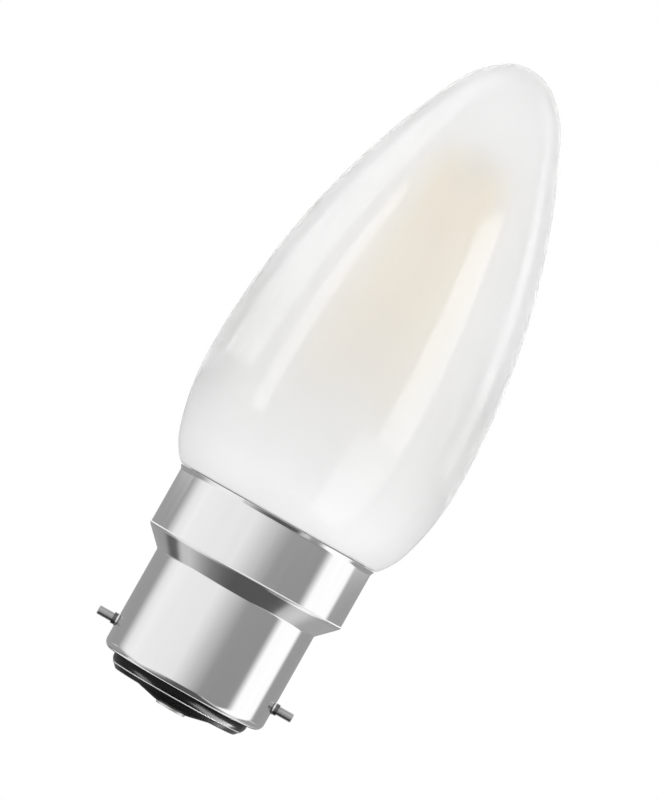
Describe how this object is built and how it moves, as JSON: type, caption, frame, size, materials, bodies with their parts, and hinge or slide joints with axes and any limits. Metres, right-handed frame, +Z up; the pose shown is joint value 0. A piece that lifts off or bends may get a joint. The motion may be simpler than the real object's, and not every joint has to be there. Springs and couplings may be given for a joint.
{
  "type": "candle bulb",
  "caption": "Frosted candle lamp with a two-pin bayonet cap: blown glass over a cage of filaments on a stem, with its driver inside the cap.",
  "frame": {"origin": "on the lamp's axis, level with the faces of the two end contacts", "axes": "+Z up the axis from the cap to the tip of the glass, +X along the bayonet pins, +Y from the front contact to the back one"},
  "size_m": [0.035, 0.035, 0.0897],
  "materials": {
    "frosted_glass": "frosted inside, smooth and glossy outside",
    "cap_nickel": "satin nickel plate on a drawn shell",
    "pin_steel": "plain turned metal, dull grey",
    "insulator_black": "glossy black moulding",
    "contact_solder": "pale soft solder",
    "cement": "matt basing cement",
    "stem_glass": "clear glass",
    "wire_nickel": "plain nickel wire",
    "filament_coat": "yellow phosphor coating",
    "board_laminate": "pale circuit laminate",
    "capacitor_sleeve": "dark shrink sleeve",
    "resistor_coat": "grey-green ceramic coat",
    "chip_moulding": "black moulded package"
  },
  "bodies": {
    "root": {"glass_envelope": "frosted_glass", "cap_shell": "cap_nickel", "bayonet_pin_left": "pin_steel", "bayonet_pin_right": "pin_steel", "cap_insulator": "insulator_black", "contact_front": "contact_solder", "contact_back": "contact_solder", "basing_cement": "cement", "glass_stem": "stem_glass", "lead_wire_left": "wire_nickel", "lead_wire_right": "wire_nickel", "support_post": "wire_nickel", "filament_bridge": "wire_nickel", "filament_front_left": "filament_coat", "filament_front_right": "filament_coat", "filament_back_left": "filament_coat", "filament_back_right": "filament_coat", "driver_board": "board_laminate", "smoothing_capacitor": "capacitor_sleeve", "fuse_resistor": "resistor_coat", "bridge_rectifier": "chip_moulding", "driver_chip": "chip_moulding", "contact_wire_front": "wire_nickel", "contact_wire_back": "wire_nickel"}
  },
  "joints": []
}
